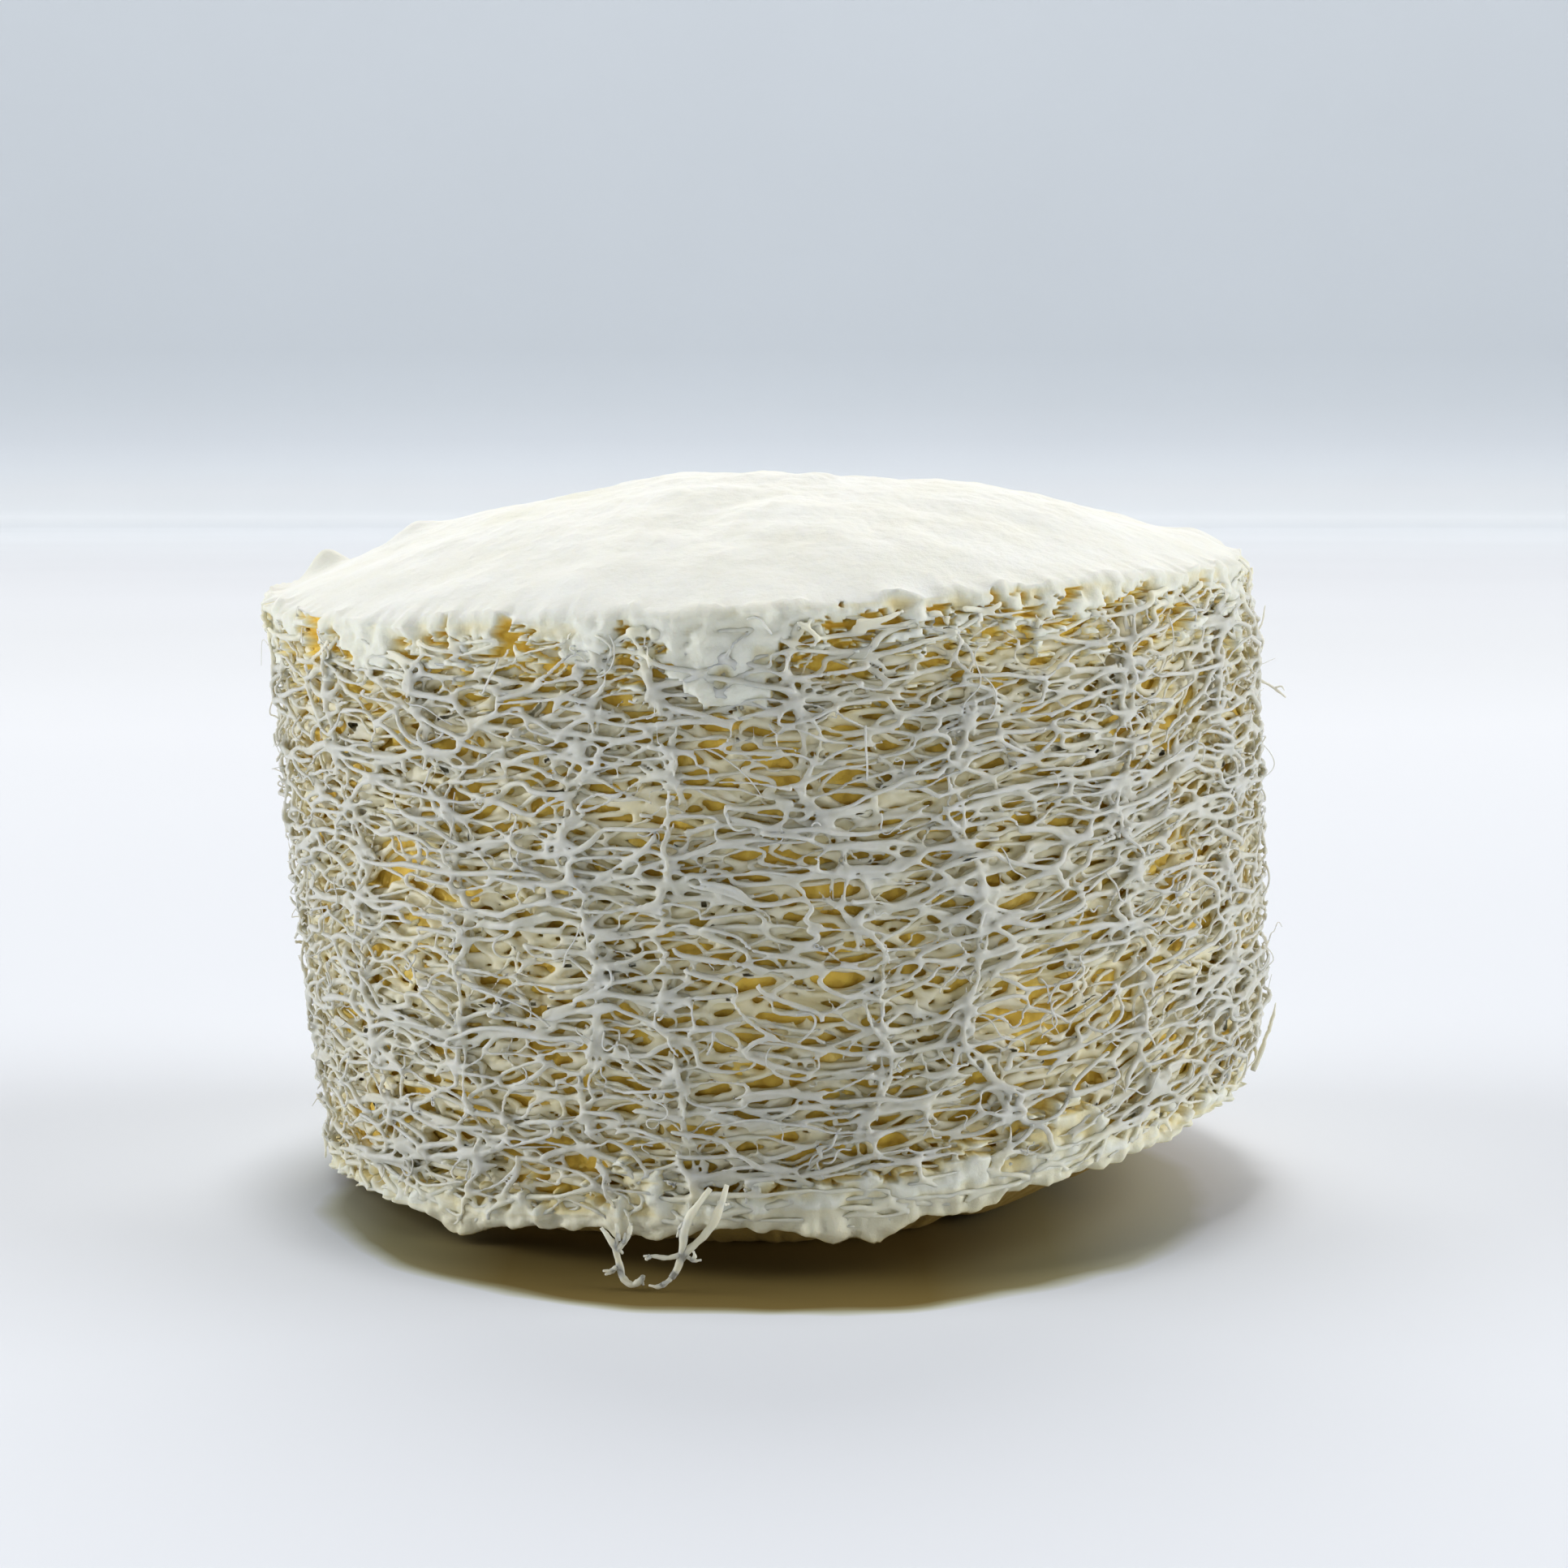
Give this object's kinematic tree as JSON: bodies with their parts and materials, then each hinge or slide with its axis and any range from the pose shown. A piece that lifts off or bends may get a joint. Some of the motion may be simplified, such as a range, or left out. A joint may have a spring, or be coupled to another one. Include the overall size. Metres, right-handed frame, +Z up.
{
  "type": "luffa sponge soap bar",
  "caption": "Short drum of cream soap cast through a slice of dried luffa gourd, with a fibrous net wall and an uneven domed top, for washing.",
  "frame": {"origin": "under the middle of the bar's bounding box, on the surface that it rests on", "axes": "+Z up through the drum, -Y towards the side seen in the picture, +X towards the raised side"},
  "size_m": [0.063, 0.0606, 0.0446],
  "materials": {
    "luffa_fibre": "matt dry plant fibre, off-white",
    "cream_soap": "waxy, soft satin, slightly translucent"
  },
  "bodies": {
    "root": {"luffa_sponge": "luffa_fibre", "soap": "cream_soap"}
  },
  "joints": []
}
